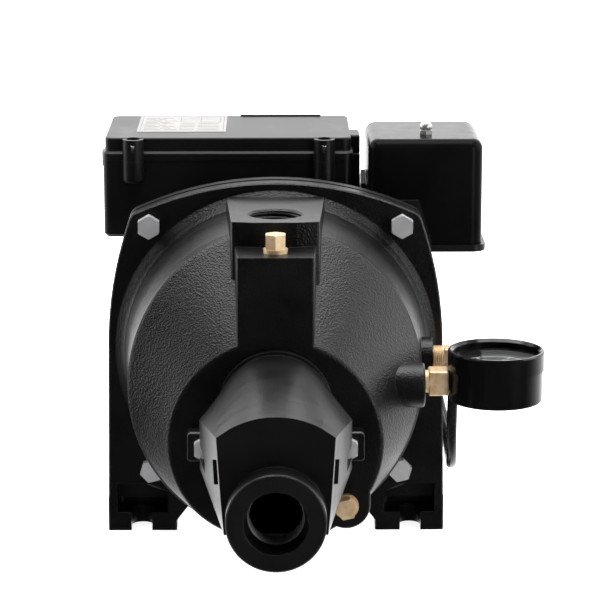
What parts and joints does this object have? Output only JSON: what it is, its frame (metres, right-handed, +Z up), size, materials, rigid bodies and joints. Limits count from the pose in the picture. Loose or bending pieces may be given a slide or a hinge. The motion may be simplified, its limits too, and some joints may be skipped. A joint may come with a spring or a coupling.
{
  "type": "shallow well jet pump",
  "caption": "Cast-iron shallow well jet pump with bolted ejector, foot-mounted finned motor, terminal box, pressure switch and gauge.",
  "frame": {"origin": "on the surface the pump stands on, midway between the two feet, below the shaft, level with the front face of the casing flange and of the feet", "axes": "+Y along the shaft from the suction port to the motor, +X to the right seen from the suction end, +Z up"},
  "size_m": [0.2664, 0.453, 0.2453],
  "materials": {
    "casing_paint": "satin black enamel over sand-cast iron",
    "ejector_paint": "satin black enamel over sand-cast iron",
    "adapter_paint": "satin black enamel over sand-cast iron",
    "motor_paint": "satin black on die-cast aluminium",
    "cowl_paint": "semi-gloss black on pressed steel",
    "box_plastic": "fine-textured black thermoplastic",
    "cover_gloss": "gloss black enamel on drawn steel",
    "bracket_paint": "black enamel on steel",
    "moulded_black": "moulded black plastic",
    "moulded_natural": "natural glass-filled thermoplastic",
    "gasket": "compressed fibre sheet",
    "rubber_black": "moulded rubber",
    "zinc_steel": "bright zinc plated",
    "bearing_steel": "ground steel",
    "spring_steel": "spring steel",
    "zinc_cast": "plain zinc die casting",
    "nickel": "nickel plated",
    "brass": "machined brass",
    "copper": "enamelled copper wire",
    "lamination": "stacked electrical steel",
    "ceramic": "lapped ceramic",
    "carbon": "carbon in a rubber bellows",
    "label_foil": "silver foil label",
    "gauge_black": "semi-gloss black steel",
    "window": "clear flat lens",
    "dial_black": "black enamelled dial with pale marks",
    "pointer_pale": "pale enamel",
    "tube_black": "extruded black nylon"
  },
  "bodies": {
    "root": {"pump_casing": "casing_paint", "casing_gasket": "gasket", "ejector_housing": "ejector_paint", "ejector_gasket": "gasket", "ejector_bolts": "zinc_steel", "nozzle": "moulded_natural", "venturi_tube": "moulded_natural", "diffuser": "moulded_black", "flange_bolts": "zinc_steel", "motor_adapter": "adapter_paint", "seal_seat": "ceramic", "bearing_outer_rings": "bearing_steel", "stator_core": "lamination", "stator_windings": "copper", "motor_front_shield": "motor_paint", "motor_shell": "motor_paint", "rear_shield": "motor_paint", "fan_cover": "cowl_paint", "through_bolts": "zinc_steel", "terminal_box_base": "box_plastic", "terminal_box_lid": "box_plastic", "lid_screws": "zinc_steel", "rating_label": "label_foil", "run_capacitor": "moulded_black", "terminal_block": "moulded_natural", "cord_gland": "moulded_black", "conduit_nipple": "zinc_cast", "conduit_locknuts": "bracket_paint", "switch_bracket": "bracket_paint", "switch_base": "bracket_paint", "switch_cover": "cover_gloss", "switch_stud": "zinc_steel", "switch_cover_nut": "nickel", "switch_springs": "spring_steel", "spring_frame": "zinc_steel", "contact_block": "moulded_black", "diaphragm_housing": "zinc_cast", "gauge_case": "gauge_black", "gauge_bezel": "gauge_black", "gauge_window": "window", "gauge_dial": "dial_black", "gauge_stem": "brass", "bourdon_tube": "brass", "casing_elbow": "brass", "switch_fitting": "brass", "compression_nuts": "brass", "sensing_tube": "tube_black", "priming_plug": "brass", "drain_plug": "brass"},
    "rotor": {"impeller": "moulded_natural", "impeller_nut": "brass", "seal_rotary": "carbon", "seal_spring": "spring_steel", "slinger": "rubber_black", "bearing_inner_rings": "bearing_steel", "motor_shaft": "bearing_steel", "rotor_core": "lamination", "cooling_fan": "moulded_black"},
    "pointer": {"gauge_pointer": "pointer_pale"},
    "lever": {"contact_lever": "spring_steel"}
  },
  "joints": [
    {"name": "rotor_spin", "type": "hinge", "parent": "root", "child": "rotor", "pos_m": [0, 0.1, 0.116], "axis": [0, 1, 0], "continuous": true},
    {"name": "gauge_needle", "type": "hinge", "parent": "root", "child": "pointer", "pos_m": [0.1279, -0.08, 0.1246], "axis": [0, 0, -1], "range_deg": [0, 270], "stiffness_Nm_per_rad": 0.0005},
    {"name": "switch_contacts", "type": "hinge", "parent": "root", "child": "lever", "pos_m": [0.074, 0.088, 0.192], "axis": [0, -1, 0], "range_deg": [0, 5], "stiffness_Nm_per_rad": 0.2, "springref_deg": -8.59}
  ]
}
